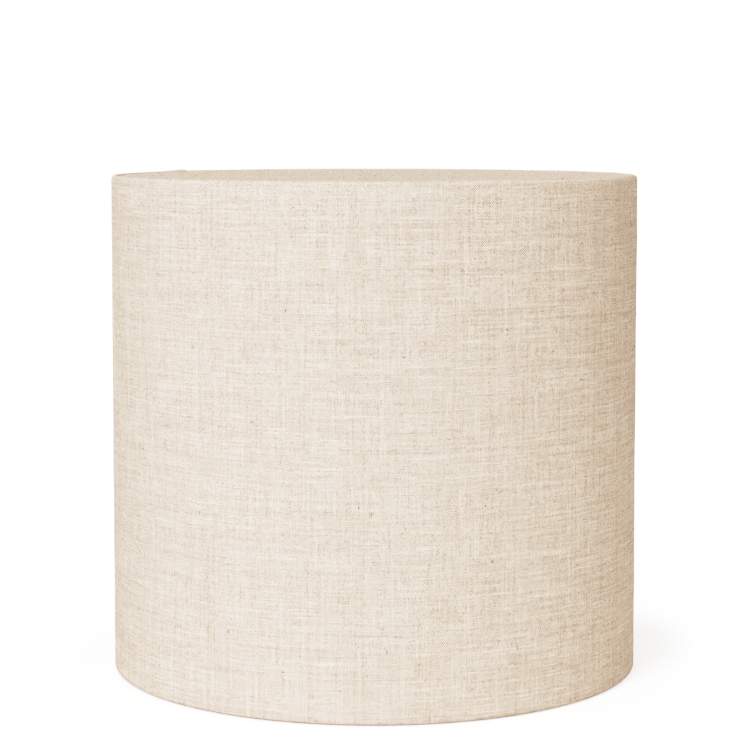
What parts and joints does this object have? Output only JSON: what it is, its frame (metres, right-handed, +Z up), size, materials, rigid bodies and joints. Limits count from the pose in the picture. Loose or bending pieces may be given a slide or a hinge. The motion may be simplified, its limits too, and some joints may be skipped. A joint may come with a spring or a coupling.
{
  "type": "drum lamp shade",
  "caption": "Closed-top drum lamp shade in natural linen over a stiff liner, with rolled wire rims and a recessed spider fitter near the bottom.",
  "frame": {"origin": "centre of the bottom rim's underside, on the surface that the shade stands on", "axes": "+Z up along the shade's own axis, +X to the right and -Y towards the viewer; the lapped seam is at the back left"},
  "size_m": [0.4, 0.4, 0.3768],
  "materials": {
    "side_linen": "matte slubby plain weave",
    "top_linen": "matte slubby plain weave",
    "liner_plastic": "satin",
    "tape_plastic": "glossy",
    "ring_wire": "white powder coat",
    "spider_metal": "white powder coat",
    "board": "uncoated"
  },
  "bodies": {
    "root": {"side_fabric": "side_linen", "side_liner": "liner_plastic", "seam_tape": "tape_plastic", "bottom_ring": "ring_wire", "top_ring": "ring_wire", "top_board": "board", "top_fabric": "top_linen", "fitter_washer": "spider_metal", "spider_arm_1": "spider_metal", "spider_arm_2": "spider_metal", "spider_arm_3": "spider_metal"}
  },
  "joints": []
}
